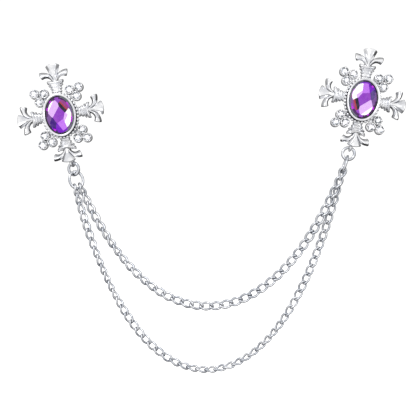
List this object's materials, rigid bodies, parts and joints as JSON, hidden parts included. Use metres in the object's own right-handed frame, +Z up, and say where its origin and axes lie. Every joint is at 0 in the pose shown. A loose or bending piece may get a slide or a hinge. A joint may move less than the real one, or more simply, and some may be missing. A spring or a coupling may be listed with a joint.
{
  "type": "lapel chain",
  "caption": "Cross-shaped jewelled brooches with oval violet stones and small clear stone clusters, joined by curb chains of different length.",
  "frame": {"origin": "middle of the left brooch's pin stem, where the stem passes through the cloth", "axes": "+X from the left brooch to the right one as seen from the front, +Y from the front back into the cloth, +Z up; the chains hang down"},
  "size_m": [0.1602, 0.0103, 0.1343],
  "materials": {
    "cast_silver": "bright silver-tone plating on cast zinc alloy",
    "wire_silver": "bright silver-tone plating on steel wire",
    "pin_steel": "plain steel",
    "violet_stone": "faceted violet stone, foiled back",
    "clear_stone": "faceted clear stone, foiled back"
  },
  "bodies": {
    "root": {"left_casting": "cast_silver", "left_stone": "violet_stone", "left_pin": "pin_steel", "left_ring": "wire_silver", "left_joiner": "wire_silver", "right_casting": "cast_silver", "right_stone": "violet_stone", "right_pin": "pin_steel", "right_ring": "wire_silver", "right_joiner": "wire_silver", "upper_chain": "wire_silver", "lower_chain": "wire_silver", "left_chip_01": "clear_stone", "left_chip_02": "clear_stone", "left_chip_03": "clear_stone", "left_chip_04": "clear_stone", "left_chip_05": "clear_stone", "left_chip_06": "clear_stone", "left_chip_07": "clear_stone", "left_chip_08": "clear_stone", "left_chip_09": "clear_stone", "left_chip_10": "clear_stone", "left_chip_11": "clear_stone", "left_chip_12": "clear_stone", "right_chip_01": "clear_stone", "right_chip_02": "clear_stone", "right_chip_03": "clear_stone", "right_chip_04": "clear_stone", "right_chip_05": "clear_stone", "right_chip_06": "clear_stone", "right_chip_07": "clear_stone", "right_chip_08": "clear_stone", "right_chip_09": "clear_stone", "right_chip_10": "clear_stone", "right_chip_11": "clear_stone", "right_chip_12": "clear_stone"}
  },
  "joints": []
}
